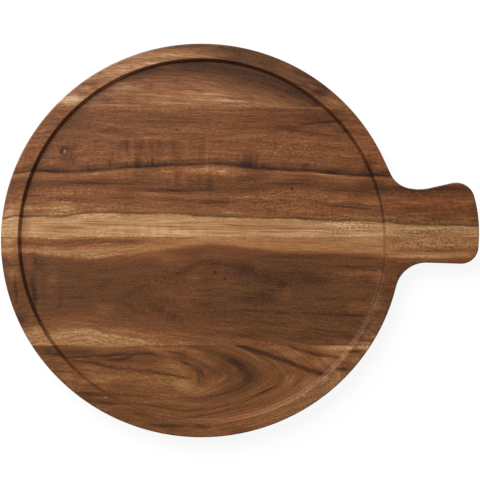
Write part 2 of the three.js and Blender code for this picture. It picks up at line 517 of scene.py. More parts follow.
# What the figure of one plank looks like
PLANK_NAMES = "name node slot tilt seed flecked guides tones features oiled tinted"
PLANK_EXTRAS = {"tint": (1, 1, 1), "grain": 1.0, "curl": (), "pored": (), "weaves": (), "arch": None}
Plank = namedtuple("Plank", PLANK_NAMES.split() + list(PLANK_EXTRAS), defaults=PLANK_EXTRAS.values())


def spots(places, where=EVERYWHERE):
    return [Spot(*place, where=where) for place in places]


def streaks(places, where=EVERYWHERE):
    return [Streak(*place, where=where) for place in places]


def bars(places):
    """Streaks straight across the grain, each from one height to another."""
    return [Streak(u, v0, u, v1, thick, tone) for u, v0, v1, thick, tone in places]


def on_wall(arcs, thick):
    """Streaks along the recess wall. Each has two directions from the middle, in degrees, and a tone."""
    made = []
    for start, end, tone in arcs:
        ends = []
        for angle in (math.radians(start), math.radians(end)):
            ends.append(WALL_MIDDLE_U + WALL_RADIUS * math.cos(angle))
            ends.append(DISC_CENTRE_V - WALL_RADIUS * math.sin(angle))
        made.append(Streak(*ends, thick, tone))
    return made


def path_at(path, u):
    """Height of a path at one place along the plank, by straight steps between its points."""
    for (u0, v0), (u1, v1) in zip(path, path[1:]):
        if u0 <= u <= u1:
            return v0 + (v1 - v0) * (u - u0) / (u1 - u0)
    return path[0][1] if u < path[0][0] else path[-1][1]


def flow_across(g, share_u, share_v, guides):
    """Place across the grain, straightened so that the guide lines become level. In figure units."""
    levels = [path_at(guide, DISC_CENTRE_U) for guide in guides]
    curves = [g.curve(share_u, guide, PHOTO_PIXELS, PHOTO_PIXELS) for guide in guides]
    before = g.math("MINIMUM", g.math("SUBTRACT", share_v, curves[0]))
    flow = g.plus(before, PHOTO_PIXELS, levels[0])
    for upper, lower, high, low in zip(curves, curves[1:], levels, levels[1:]):
        flow = g.math("ADD", flow, g.span(share_v, upper, lower, 0.0, low - high))
    beyond = g.math("MAXIMUM", g.math("SUBTRACT", share_v, curves[-1]))
    return g.plus(beyond, PHOTO_PIXELS, flow)


class Figure:
    """Places on one plank that its features are drawn from."""

    def __init__(self, g, plank):
        self.g = g
        coordinates = g.node("TexCoord").outputs
        self.normal = coordinates["Normal"]
        offset = (DISC_CENTRE_U, DISC_CENTRE_V, -FLOOR_Z / PIXEL)
        scale = (1 / PIXEL, -1 / PIXEL, 1 / PIXEL)
        place = g.vector("MULTIPLY_ADD", coordinates["Object"], scale, offset)
        self.solid = g.vector("ADD", place, (plank.seed, 0, 0))
        u, v, w = g.split(place)
        depth = RECESS_DEPTH / PIXEL
        self.rim = g.span(w, *(share * depth for share in RIM_RANGE), smooth=True)
        waver = g.swing(self.solid, WAVER, SMOOTH_DETAIL)
        jag = g.swing(self.solid, JAG)
        across = g.plus(jag, JAG_OF_LAYERS, g.plus(waver, WAVER_ACROSS, g.plus(w, plank.tilt, v)))
        self.share_u = g.math("DIVIDE", u, PHOTO_PIXELS)
        self.share_v = g.math("DIVIDE", across, PHOTO_PIXELS)
        level = g.plus(jag, JAG_OF_SPOTS, g.plus(waver, WAVER_ACROSS, v))
        self.loose = g.join(g.plus(waver, WAVER_ALONG, u), level, 0.0)
        self.flow = flow_across(g, self.share_u, self.share_v, plank.guides)
        self.fibre = g.join(g.math("ADD", u, plank.seed), self.flow, w)
        self.broken = g.span(g.noise(self.solid, BREAKS), *BREAK_RANGE, *BREAK_SHARES)

    def fade(self, start, end):
        return self.g.span(self.share_u, start / PHOTO_PIXELS, end / PHOTO_PIXELS, smooth=True)

    def line(self, line, peak):
        g = self.g
        path = g.curve(self.share_u, line.path, PHOTO_PIXELS, PHOTO_PIXELS)
        distance = g.math("SUBTRACT", self.share_v, path)
        upper = g.span(distance, -line.above / PHOTO_PIXELS, 0.0, 0.0, peak, smooth=True)
        lower = g.span(distance, 0.0, line.below / PHOTO_PIXELS, 1.0, 0.0, smooth=True)
        mask = g.product(g.product(upper, lower), self.broken)
        first, last = line.path[0][0], line.path[-1][0]
        if first > 0:
            mask = g.product(mask, self.fade(first, first + LINE_FADE))
        if last < PHOTO_PIXELS:
            mask = g.product(mask, self.fade(last, last - LINE_FADE))
        return mask

    def oval(self, middle, angle, radii, peak, where):
        g = self.g
        away = g.vector("SUBTRACT", self.loose, (*middle, 0))
        cos, sin = math.cos(angle), math.sin(angle)
        along = g.dot(away, (cos / radii[0], sin / radii[0], 0))
        across = g.dot(away, (-sin / radii[1], cos / radii[1], 0))
        mask = g.span(g.length(g.join(along, across, 0.0)), OVAL_MIDDLE, 1.0, peak, 0.0, smooth=True)
        if where == RIM:
            mask = g.product(mask, self.rim)
        if where == FLOOR:
            mask = g.product(mask, g.math("SUBTRACT", 1.0, self.rim))
        return mask

    def turned(self, angle):
        """The place on the plank, turned so that fibres run at an angle to the grain."""
        g = self.g
        cos, sin = math.cos(angle), math.sin(angle)
        return g.join(g.dot(self.solid, (cos, sin, 0)), g.dot(self.solid, (-sin, cos, 0)), 0.0)

    def rings(self, arch):
        """Which of the nested arches goes through each place: 1 is the arch with the given reach."""
        g = self.g
        away = g.vector("SUBTRACT", self.loose, (arch.u, arch.v, 0))
        along = g.math("MAXIMUM", g.dot(away, (1 / arch.reach, 0, 0)), 0.0)
        above = g.dot(away, (0, -1 / arch.above, 0))
        across = g.math("MAXIMUM", above, g.dot(away, (0, 1 / arch.below, 0)))
        bent = g.math("ADD", g.math("POWER", along, arch.power), g.math("POWER", across, arch.power))
        return g.math("POWER", bent, 1 / arch.power)

    def arched(self, arch):
        """How far the arches take over from the straight grain: from 0 to 1 along the plank."""
        return self.fade(*arch.start)

    def mask(self, feature, peak):
        """How much of a feature there is at each place, up to its peak."""
        if isinstance(feature, Line):
            return self.line(feature, peak)
        if isinstance(feature, Spot):
            return self.oval((feature.u, feature.v), 0.0, (feature.ru, feature.rv), peak, feature.where)
        du, dv = feature.u1 - feature.u0, feature.v1 - feature.v0
        middle = (feature.u0 + feature.u1) / 2, (feature.v0 + feature.v1) / 2
        radii = STREAK_REACH * math.hypot(du, dv), feature.thick
        return self.oval(middle, math.atan2(dv, du), radii, peak, feature.where)

    def total(self, features, start, peak=None):
        """The start value with all the features added, each by its own tone or by one peak."""
        for feature in features:
            height = FEATURE_STRENGTH * feature.tone / TONE_TOP if peak is None else peak
            start = self.g.math("ADD", start, self.mask(feature, height))
        return start


def wood_tone(g, plank, figure):
    """Tone of the growth layers and rings, of single features, and of soft bars across the grain."""
    tone = g.curve(g.math("DIVIDE", figure.flow, PHOTO_PIXELS), plank.tones, PHOTO_PIXELS, TONE_TOP)
    if plank.arch:
        rings = g.math("DIVIDE", figure.rings(plank.arch), RING_TOP)
        ring_tone = g.curve(rings, plank.arch.tones, RING_TOP, TONE_TOP)
        tone = g.blend(figure.arched(plank.arch), tone, ring_tone)
    tone = figure.total(plank.features, tone)
    curl = g.swing(figure.solid, CURL)
    for spot in plank.curl:
        tone = g.plus(curl, figure.mask(spot, spot.tone / TONE_TOP), tone)
    return tone


def wood_fibres(g, plank, figure):
    """What the fibres multiply the tone by: along the grain, in weaves, and along an arch's rings."""
    fibres = LIFT
    kinds = [(*FLECKS, plank.flecked)]
    kinds += [(*kind, plank.grain) for kind in FIBRES]
    for along, thick, share, strength in kinds:
        noise = g.swing(figure.fibre, (along, thick, thick), rough=FIBRE_ROUGH)
        fibres = g.plus(noise, share * strength, fibres)
    for weave in plank.weaves:
        along, thick, share = weave.fibres
        angle = math.atan2(weave.v1 - weave.v0, weave.u1 - weave.u0)
        noise = g.swing(figure.turned(angle), (along, thick, thick), rough=WEAVE_ROUGH)
        fibres = g.blend(figure.mask(weave, 1.0), fibres, g.plus(noise, share, LIFT))
    if plank.arch:
        thick, share = plank.arch.fibres
        rings = g.product(figure.rings(plank.arch), plank.arch.below)
        u, v, _ = g.split(figure.solid)
        noise = g.swing(g.join(u, v, rings), (RING_LENGTH, RING_WIDTH, thick), rough=FIBRE_ROUGH)
        ringed = g.plus(noise, share, LIFT)
        along, thick, share = SPECKLES
        ringed = g.plus(g.swing(figure.solid, (along, thick, thick), SMOOTH_DETAIL), share, ringed)
        fibres = g.blend(figure.arched(plank.arch), fibres, ringed)
    return fibres


def plank_material(plank):
    g = Graph(bpy.data.materials.new(plank.name))
    figure = Figure(g, plank)

    # Tone, with fibres and dark pores that change it by a share
    tone = wood_tone(g, plank, figure)
    fibres = wood_fibres(g, plank, figure)
    pores = g.span(g.noise(figure.fibre, PORES, SMOOTH_DETAIL), *PORE_RANGE, smooth=True)
    depth = figure.total(plank.pored, PORE_DEPTH, PORED_DEPTH)
    tone = g.product(tone, g.math("SUBTRACT", fibres, g.product(pores, depth)))

    # Colour: the tone's own, with tints from patch to patch and by place
    stops = [(colour[0] / TONE_TOP, bare(colour)) for colour in WOOD_COLOURS]
    colour = g.vector("MULTIPLY", g.ramp(tone, stops), plank.tint)
    hue = g.span(g.noise(figure.solid, HUE_PATCHES), *HUE_RANGE)
    colour = g.tinted(colour, hue, YELLOWER, REDDER)
    for tint, features in plank.tinted:
        colour = g.tinted(colour, figure.total(features, 0.0, 1.0), tint)

    # Steep faces are darker and redder: partly end grain, partly painted shade on the recess wall. Each
    # plank's wall shading adds painted shade on the wall's shaded sides and painted light on its lit side
    endwise, _, upright = g.split(g.vector("MULTIPLY", figure.normal, figure.normal))
    steep = g.span(upright, *STEEP_RANGE)
    endgrain_and_painted_shade = g.product(endwise, g.span(tone, *ENDGRAIN_AND_SHADE_TONES, *ENDGRAIN_AND_SHADE_SHARES))
    endgrain_and_painted_shade = figure.total(plank.oiled, g.math("ADD", endgrain_and_painted_shade, PAINTED_STEEP_SHADE))
    colour = g.scaled(colour, g.math("SUBTRACT", 1.0, g.product(steep, endgrain_and_painted_shade)))
    colour = g.tinted(colour, steep, STEEP_REDDER)

    bump = g.named("Bump", {
        "Strength": g.plus(steep, -RELIEF_STRENGTH, RELIEF_STRENGTH),
        "Distance": RELIEF_HEIGHT,
        "Height": g.noise(figure.solid, RELIEF),
    })
    g.show(g.named("BsdfPrincipled", {
        "Base Color": colour,
        "Roughness": g.plus(pores, PORE_ROUGHNESS, g.plus(steep, STEEP_ROUGHNESS, ROUGHNESS)),
        "Normal": bump.outputs[0],
    }))
    return g.owner


UPPER_JOINT = [(0, 106.5), (PHOTO_PIXELS, 106.5)]
MIDDLE_JOINT = [(0, 237), (PHOTO_PIXELS, 237)]
LOWER_JOINT = [(0, 345.5), (PHOTO_PIXELS, 345.5)]

# Outer upper plank: a dark arch that falls to the right, light streaks below it, a tan rim
OUTER_UPPER_FIGURE = [
    # On the recess floor only
    *spots([
        (104, 100, 16, 5, -14), (115, 88, 60, 12, -8), (124, 86, 26, 8, 26), (125, 98, 46, 5, -8),
        (162, 66, 14, 4, 13), (166, 103, 20, 3, 16), (170, 66, 22, 5, 16), (195, 71, 26, 4, -4),
        (235, 83, 26, 7, -8), (240, 103, 18, 5, -10), (304, 100, 13, 5, 8),
    ], FLOOR),
    *streaks([
        (150, 88, 230, 90, 1.2, -12), (150, 96.5, 205, 98, 1, -12), (150, 103, 215, 104, 1.4, 12),
        (160, 84, 215, 86, 1, 10), (160, 91, 235, 95, 1.8, 16), (185, 99, 270, 103, 2.2, 16),
        (210, 96, 260, 100, 1.3, -14), (226, 101.5, 262, 104.5, 1.3, -16),
    ], FLOOR),
    # On the rim only
    *spots([
        (62, 103, 11, 7, 20), (73, 100, 19, 9, 40), (82, 82, 9, 6, -20), (96, 88, 11, 5, -12),
        (150, 58, 60, 16, 14), (165, 52, 28, 8, 10), (185, 52, 44, 8, 14), (189, 47, 16, 5, 11),
        (200, 78, 170, 56, 13), (205, 55, 26, 5, 8), (208, 47, 20, 6, 18), (222, 54, 20, 5, 14),
        (238, 52, 22, 6, -3), (284, 65, 16, 8, 13), (284, 74, 24, 10, 4), (304, 84, 10, 4, -10),
        (321, 92, 13, 7, -30), (333, 106, 10, 5, -12), (338, 104, 14, 6, 6),
    ], RIM),
    *streaks([
        (80, 87.5, 108, 79, 4, -18), (88, 95, 96, 89, 3, 10), (205, 56, 262, 65, 4.5, -22),
        (250, 62, 302, 85, 5, -20), (290, 77, 342, 117, 7, -20),
    ], RIM),
]
OUTER_UPPER = Plank(
    "outer upper plank", "stave_1_outer_upper", "wood_stave_1", tilt=4.0, seed=0.0, flecked=0.3,
    tint=(1.0, 1.02, 1.16), grain=1.2, features=OUTER_UPPER_FIGURE,
    guides=[
        [(0, 34), (100, 40), (200, 50), (260, 60), (340, 82), (480, 120)],
        [
            (0, 64), (100, 66), (150, 66), (190, 68), (230, 73), (260, 80), (290, 89), (320, 99),
            (345, 107), (480, 150),
        ],
        [(0, 76), (150, 76), (195, 78), (230, 84), (260, 92), (290, 103), (320, 115), (480, 175)],
        [(0, 97), (150, 97), (200, 99), (240, 104), (270, 111), (300, 120), (480, 190)],
    ],
    tones=[
        (20, 118), (50, 116), (60, 94), (68, 80), (73, 92), (78, 116), (86, 134), (92, 145), (99, 149),
        (106, 141), (118, 136), (150, 120), (200, 120),
    ],
    # Painted shade on the upper right of the recess wall
    oiled=on_wall([(48, 26, 44)], WALL_SHADING_WIDTH),
    curl=[Spot(115, 92, 70, 24, 35)],
    tinted=[(PALER, spots([(190, 80, 260, 90), (210, 52, 80, 16)], RIM))],
)

# Inner upper plank: a dark line with flames above it, dark bands, and pale sapwood along its lower edge
FLAME_LINE = [
    (0, 176), (22, 173.5), (38, 171), (60, 172), (80, 171.3), (95, 170.4), (110, 169), (130, 167.5),
    (160, 166), (185, 164.6), (200, 163.8), (215, 163.4), (230, 165), (245, 167.2), (260, 169.2),
    (280, 169.8), (300, 170.2), (315, 171), (330, 172.8), (350, 174.8), (370, 176.2), (393, 178),
    (480, 182),
]
SAPWOOD_EDGE = [
    (0, 222), (10, 219), (20, 217.5), (40, 217), (60, 217.3), (75, 215.2), (85, 213.8), (100, 213),
    (112, 212.6), (125, 213.6), (140, 214.3), (165, 214), (185, 214.6), (195, 216.3), (215, 217.2),
    (240, 218), (290, 219), (320, 220.5), (350, 221.5), (376, 222.4), (388, 224), (400, 226), (440, 227),
    (480, 227.8),
]
SAPWOOD_LINE = [(u, v - 1.0) for u, v in SAPWOOD_EDGE]
INNER_UPPER_FIGURE = [
    # Long lines
    Line(FLAME_LINE, 3.6, 2.4, -31),
    Line(FLAME_LINE, 11.0, 1.0, -17),
    Line([(u, v) for u, v in FLAME_LINE if u >= 260], 11.0, 3.4, -12),
    Line(SAPWOOD_LINE, 1.5, 1.0, -27),
    # Light places
    *spots([
        (20, 205, 16, 14, 18), (40, 204, 34, 7, 10), (57, 215, 15, 3, 14), (58, 201, 26, 4, 14),
        (60, 187.5, 46, 2.2, 10), (64, 209, 62, 10, 27), (64.6, 151.2, 2.3, 3.4, 78), (66, 178, 50, 3, 8),
        (66, 192, 64, 12, 11), (115, 170.5, 4, 2.5, 14), (129, 172, 5, 3, 14), (145, 208, 44, 5, 6),
        (149, 194, 18, 9, 10), (158, 202, 20, 5, 12), (200, 170.5, 20, 5, 20), (223, 171.5, 16, 4.2, 18),
        (232, 213, 16, 3, 16), (264, 207, 15, 5, 11), (268, 121, 20, 7, 11), (269, 171, 11, 4, 10),
        (285, 199, 84, 20, 11), (288, 120, 15, 6, 9), (288, 148, 50, 10, 9), (340, 202, 20, 3, 12),
        (345, 217.5, 60, 4, 10), (345, 224.5, 26, 4, 14), (350, 226, 34, 5, 12), (372, 203, 16, 4, 14),
    ]),
    # Dark places
    *spots([
        (24, 228, 10, 12, -16), (42, 208, 15, 7, -16), (50, 170, 30, 6, -12), (59, 138, 9, 5, -11),
        (63, 150.5, 6.5, 7, -36), (63, 230, 30, 9, -21), (67, 158, 13, 13, -18), (70, 147, 15, 9, -16),
        (76, 125, 26, 13, -10), (84, 208, 18, 8, -22), (97, 224, 22, 8, -13), (98, 148, 15, 6, -8),
        (103, 128.5, 9, 3, -4), (110, 131, 28, 7, -8), (124, 146, 12, 8, -12), (126, 141, 6, 4, -14),
        (140, 146, 44, 8, -10), (141, 173, 28, 7, -14), (150, 114, 24, 5, -7), (150, 191, 7, 2, -12),
        (161, 226, 17, 4, -10), (167, 143, 15, 8, -14), (170, 190, 6, 2, -12),
        (176.3, 129.3, 1.7, 1.5, -60), (180, 192, 14, 4, -10), (208, 202, 11, 6, -10),
        (210, 184, 8, 14, -14), (220, 201, 15, 7, -15), (236, 130, 26, 6, -8), (245, 228, 70, 10, -15),
        (248, 176, 18, 10, -8), (248.3, 164, 16.3, 10, -24), (250, 156, 15, 12, -10),
        (256, 180, 11, 4, -10), (262, 171, 18, 13, -18), (270, 109.5, 90, 3, -16), (285, 128, 26, 5, -13),
        (288, 227, 20, 8, -9), (290, 121, 74, 20, -14), (292, 189, 2, 1.9, -55), (301, 182, 4, 2.5, -10),
        (303, 175, 26, 7, -14), (305, 217, 26, 3.5, -6), (306, 185.5, 4, 1.8, -10),
        (325, 116, 40, 16, -14), (330, 229, 18, 6, -7), (345, 130.6, 17, 5.6, -19),
        (352, 163, 28, 13, -7), (361, 194, 18, 7, -14), (372, 181, 26, 5, -20), (372, 187, 22, 6, -12),
    ]),
    # Light streaks
    *streaks([
        (42, 190, 78, 189.5, 1.3, 14), (60, 186.4, 186, 186.4, 1.2, 16), (60, 203, 120, 205, 2, 12),
        (76, 145, 98, 136, 1.6, 10), (90, 174, 100, 172, 1.8, 26), (96, 135, 128, 136.5, 2.2, 13),
        (126, 137, 160, 138, 1.8, 8), (142, 196, 214, 196, 1.4, 16), (214, 197, 302, 197, 2, 14),
        (222, 139, 266, 134.5, 3.2, 14), (244, 198.5, 345, 198.5, 1.8, 14),
        (276, 172, 348, 175.5, 1.2, 20),
    ]),
    # Dark streaks
    *streaks([
        (18, 196, 48, 196, 1.5, -16), (18, 226, 102, 226.5, 0.9, -10), (26, 183, 180, 183.5, 1.9, -15),
        (60, 182.5, 112, 183, 1.6, -8), (70, 153, 73.5, 167, 1.2, -16), (78, 126, 104, 127, 1.4, -14),
        (80, 190.5, 102, 192, 1.4, -14), (89, 141.5, 101, 140, 1.1, -14), (98, 117, 142, 119, 1.2, -10),
        (100, 224, 162, 226, 0.9, -14), (102, 120, 212, 122.5, 1.7, -14), (102, 130, 113, 127, 1.3, -14),
        (104, 198, 142, 198, 1.4, -18), (112, 127.5, 119, 131, 1.2, -12), (126, 191, 224, 190, 2.4, -18),
        (138, 221, 168, 221, 1.1, -20), (146, 107, 152, 116, 1.4, -12), (148, 200, 222, 200.5, 1.6, -14),
        (150, 115.5, 206, 119.5, 1.6, -20), (150, 132.5, 222, 135, 2, -10),
        (158, 226, 226, 230.5, 0.9, -16), (172, 222, 204, 222, 1.1, -18), (200, 141, 250, 143, 1, -8),
        (204, 202, 242, 202.5, 1.6, -18), (214, 223, 250, 227, 1.2, -22), (228, 178, 270, 177, 5, -9),
        (234, 116, 262, 116.5, 1.4, -16), (238, 141.5, 322, 141.5, 1, -12),
        (246, 226.5, 340, 230, 1.2, -20), (248, 118, 280, 121, 1.8, -12),
        (258, 183, 312, 183.5, 2.2, -16), (276, 128.5, 356, 137.5, 1.5, -16), (276, 130, 345, 138, 4, -8),
        (294, 201, 384, 206, 1.3, -16), (298, 126, 316, 122.3, 1.8, -22),
        (308, 203, 384, 210.5, 1.5, -28), (312, 121.7, 345, 121, 2, -28),
        (318, 190, 366, 191.5, 1.4, -20), (336, 229.5, 392, 230.5, 1, -14),
    ]),
    # Bars across the grain
    *bars([
        (88, 171, 163, 2, -12), (95, 170, 162, 2.2, -14), (111, 169, 158, 2.6, -18),
        (127, 139, 157, 3.6, -8), (127, 168, 160, 2.6, -16), (138, 168, 156, 6, -20),
        (141, 138, 156, 2, -7), (148, 167, 158, 2, -14), (152, 143, 152, 1.6, -8),
        (153, 167, 156, 3.2, -24), (166, 167, 158, 2.2, -18), (171, 166, 160, 1.5, -16),
        (207, 164, 152, 1.2, -14), (237, 168, 150, 2.4, -12), (244, 170, 153, 4, -6),
        (251, 171, 152, 4.5, -7), (257.5, 171, 148, 3.2, -10), (265, 171, 160, 3, -12),
        (305, 171, 161, 6, -12), (368, 178, 153, 9, -22),
    ]),
    # On the handle
    *spots([
        (404, 217.5, 15, 3, -10), (413, 229, 15, 4, 10), (420, 202, 66, 3, 11),
        (424, 209.5, 36, 4.5, -19), (426, 196, 54, 2.6, -13), (428, 229.5, 26, 3, 13),
        (430, 188, 66, 6, -26), (430, 189, 40, 4, 8), (430, 204.5, 15, 3.4, 9), (432, 220.5, 17, 3, -9),
        (432, 231, 60, 8, 8), (440, 232.5, 76, 10, -26), (444, 217.5, 32, 5, -14), (458, 211, 19, 5, -8),
        (475, 212, 10, 20, -14),
    ]),
    # On the rim only
    *spots([(7, 212, 11, 11, 28), (18, 201, 11, 6, -11), (336, 110, 8, 5, -12)], RIM),
]
INNER_UPPER = Plank(
    "inner upper plank", "stave_2_inner_upper", "wood_stave_2", tilt=0.2, seed=400.0, flecked=0.6,
    tint=(1.0, 0.96, 0.93), features=INNER_UPPER_FIGURE,
    guides=[
        UPPER_JOINT,
        [(0, 132), (80, 128), (140, 131), (200, 131), (250, 130), (300, 133), (380, 137), (480, 140)],
        FLAME_LINE,
        [
            (0, 186), (100, 184), (170, 189), (200, 187), (230, 190), (300, 184), (350, 188), (400, 190),
            (480, 190),
        ],
        [(0, 206), (100, 201), (200, 204), (300, 203), (330, 207), (380, 210), (480, 211)],
        SAPWOOD_EDGE,
        MIDDLE_JOINT,
    ],
    tones=[
        (60, 128), (107, 134), (112, 128), (117, 121), (123, 124), (131, 127), (138, 126), (146, 126),
        (152, 131), (157, 128), (161, 124), (163.3, 130), (168, 143), (172, 136), (178, 118), (184, 107),
        (188, 106), (192, 118), (195, 128), (200, 121), (206, 124), (211, 132), (214, 130), (216.6, 134),
        (217.6, 176), (221, 181), (226, 183), (232, 189), (240, 187),
    ],
    # Painted shade on the right and upper right of the recess wall, and on its left
    oiled=on_wall([(48, 26, 48), (30, 10, 38), (17, -3, 20), (150, 165, 26), (162, 180, 28)], WALL_SHADING_WIDTH),
    curl=spots([(165, 152, 90, 26, 70), (180, 178, 90, 16, 60), (165, 230, 110, 9, 45)]),
    pored=spots([
        (72, 195, 56, 14), (285, 198, 76, 22), (340, 219, 76, 6), (345, 228, 60, 12), (290, 150, 70, 16),
        (425, 191, 62, 10), (430, 221, 64, 6), (432, 232, 64, 9),
    ]),
    tinted=[
        (OLIVE, [Line(SAPWOOD_EDGE, 6.0, 2.5), Streak(138, 221, 204, 222, 2), *spots([
            (60, 213, 50, 3), (332, 229, 22, 6), (345, 218, 70, 5), (300, 217, 40, 4),
            (435, 221.5, 70, 7),
        ])]),
        (ORANGE, spots([(440, 198, 80, 30), (370, 160, 40, 60)])),
        (PALER, [Spot(10, 190, 40, 60, where=RIM)]),
        (RED, [Spot(285, 122, 70, 20)]),
        (ASHEN, [Spot(64.6, 151.2, 3.4, 5)]),
        (PALE, [Spot(432, 231, 64, 10)]),
    ],
    weaves=[Weave(-120, 224, 560, 231, 14, LONG_FIBRES)],
)

# Inner lower plank: orange band, dark heartwood with a chevron, a pale wedge at the lower left
ORANGE_TOP = [
    (0, 248), (20, 247), (30, 246), (45, 247.5), (62, 249), (80, 248.6), (100, 247.2), (120, 245.2),
    (140, 243.2), (160, 241.6), (180, 239), (195, 237.4), (210, 235.5), (230, 236.5), (250, 239),
    (270, 241), (300, 243), (340, 244.5), (385, 246), (420, 248), (480, 250),
]
ORANGE_BOTTOM = [
    (0, 256.5), (20, 255), (32, 254), (42, 256.3), (56, 258.2), (72, 259.2), (90, 259.8), (106, 259),
    (118, 257.8), (132, 255.6), (150, 253.4), (170, 250.8), (182, 248.8), (200, 246.2), (212, 245.2),
    (224, 246.4), (238, 247.4), (252, 249.2), (266, 251), (290, 253), (330, 253.2), (350, 254.2),
    (372, 255.6), (385, 257.4), (400, 258.8), (480, 260.5),
]
WEDGE_EDGE = [
    (0, 340), (30, 334), (48, 331), (60, 329), (72, 327.5), (86, 326.6), (94, 328.4), (104, 331.6),
    (116, 333.4), (130, 335.4), (142, 337.6), (155, 340.4), (170, 343), (190, 346), (220, 351),
    (260, 358), (300, 372), (480, 400),
]
INNER_LOWER_FIGURE = [
    # Light places
    *spots([
        (37, 330, 12, 8, 17), (48, 242.5, 5, 1, 30), (54, 279, 6.5, 10, 14), (78, 242.3, 5, 1, 26),
        (104, 309, 16, 9, 12), (118, 332, 28, 7, 16), (146, 338, 26, 6, 14), (158, 257, 44, 6, 11),
        (166, 313, 11, 6, 9), (168, 292, 22, 9, 6), (172, 262, 28, 10, 9), (180, 343, 18, 3.4, 14),
        (188, 296, 24, 18, 10), (192, 278, 11, 6, 14), (212, 254, 24, 6, 6), (222, 283, 14, 7, 8),
        (288, 292, 7, 9, 8), (322, 305, 30, 5, 6), (341, 341, 10, 4, 12), (355, 341, 8, 6, 14),
        (356, 292, 26, 5, 6), (357, 309, 18, 8, 13), (360, 273.5, 38, 4.2, 17), (364, 241, 36, 5, 14),
        (364, 333, 7, 7, 13), (366, 304, 24, 7, 8), (379, 277, 12, 9, 20),
    ]),
    # Dark places
    *spots([
        (24, 244, 11, 7, -20), (37, 247, 13, 4, -14), (39, 264, 12, 10, -15), (67, 247, 22, 6, -15),
        (85, 242, 105, 5.5, -22), (181, 293, 13, 5, -10), (214.5, 272.2, 3.2, 2.6, -26),
        (224, 278.4, 3, 2.6, -26), (240, 268, 20, 16, -8), (246, 268, 14, 9, -8), (255, 299, 30, 12, -12),
        (258, 334, 32, 9, -13), (268, 296, 18, 10, -6), (281, 313, 7, 2.4, -11), (283, 284, 10, 5, -8),
        (286, 277, 64, 22, -10), (298, 257, 74, 4.5, -13), (316, 281, 28, 6, -12), (320, 336, 60, 9, -7),
        (366, 258, 20, 2.4, -10),
    ]),
    # Light streaks
    *streaks([
        (30, 238, 74, 238, 1.4, 18), (56, 338, 110, 337.5, 0.9, 10), (58, 333, 96, 332, 0.9, 12),
        (62, 321, 98, 325, 0.9, 16), (70, 258, 112, 258, 0.8, 14), (84, 267, 114, 266, 0.8, 10),
        (86, 245, 124, 243, 0.8, 34), (98, 242, 138, 241, 0.7, 24), (110, 328, 180, 339, 5, 7),
        (200, 237.3, 380, 238, 1, 16), (210, 243, 262, 246, 1.4, 6), (330, 242, 362, 241.6, 0.6, 20),
    ]),
    # Dark streaks
    *streaks([
        (20, 243.5, 66, 246, 2.2, -18), (46, 264, 108, 264.5, 1.2, -8), (56, 298, 96, 297, 3.2, -10),
        (60, 246.5, 112, 245, 1.2, -14), (68, 288, 84, 286, 4, -5), (78, 240, 114, 239, 1, -16),
        (86, 290, 122, 277, 4, -7), (100, 241, 152, 240, 4, -14), (104, 242, 144, 240.5, 1.1, -16),
        (116, 299, 152, 319, 4.5, -11), (116, 301, 150, 283, 4.5, -10), (130, 292, 196, 334, 8, -6),
        (146, 306, 188, 321, 5.5, -10), (160, 281, 205, 260, 5, -10), (186, 300, 222, 312, 6, -5),
        (194, 262, 244, 265, 6, -9), (198, 279.5, 226, 278.6, 0.8, -18), (206, 333, 274, 337, 2.2, -6),
        (230, 309.4, 292, 313, 2.2, -13), (236, 268, 294, 288, 9, -7), (240, 319, 300, 327, 3, -7),
        (262, 241.5, 292, 241.3, 0.8, -18), (276, 338, 318, 340.5, 1.8, -8),
        (284, 312.6, 352, 315, 1.9, -13), (292, 242.8, 330, 243, 0.8, -16),
        (298, 326, 348, 334, 2.6, -10), (314, 300, 344, 298.4, 2.4, -10),
        (326, 240.6, 366, 243.4, 0.8, -18), (326, 267, 390, 267, 2.2, -11),
        (332, 314.8, 374, 315.8, 2.9, -19), (338, 334, 364, 341, 2.4, -9), (352, 320, 366, 326, 3, -8),
    ]),
    # Bars across the grain
    *bars([
        (28, 256, 276, 2.5, 8), (33, 270, 314, 4, -24), (35, 252, 268, 3, -12), (59, 284, 316, 4, -9),
        (100, 330, 345, 1, -10),
    ]),
    # On the handle
    *spots([
        (400, 257.5, 16, 3, 8), (406, 250.5, 19, 3, -16), (412, 256.5, 50, 2.8, 26),
        (425, 261, 44, 3, 12), (432, 243, 62, 9, 8), (446, 249.5, 46, 4, -22), (474, 252, 10, 10, -16),
    ]),
    *streaks([(414, 251, 452, 249.4, 0.9, -20)]),
    # On the rim only
    *spots([
        (2, 241, 8, 6, -22), (8, 241, 14, 4, 36), (8, 272, 9, 8, 16), (12, 256, 10, 9, 20),
        (15, 274, 10, 12, 22), (20, 319, 11, 10, -20), (26, 322, 9, 8, -4), (366, 345, 14, 7, 34),
        (372, 336, 12, 9, 14), (376, 314, 14, 40, 14), (393, 276, 9, 7, 10),
    ], RIM),
    *streaks([(15, 270, 15, 306, 2.6, -20)], RIM),
]
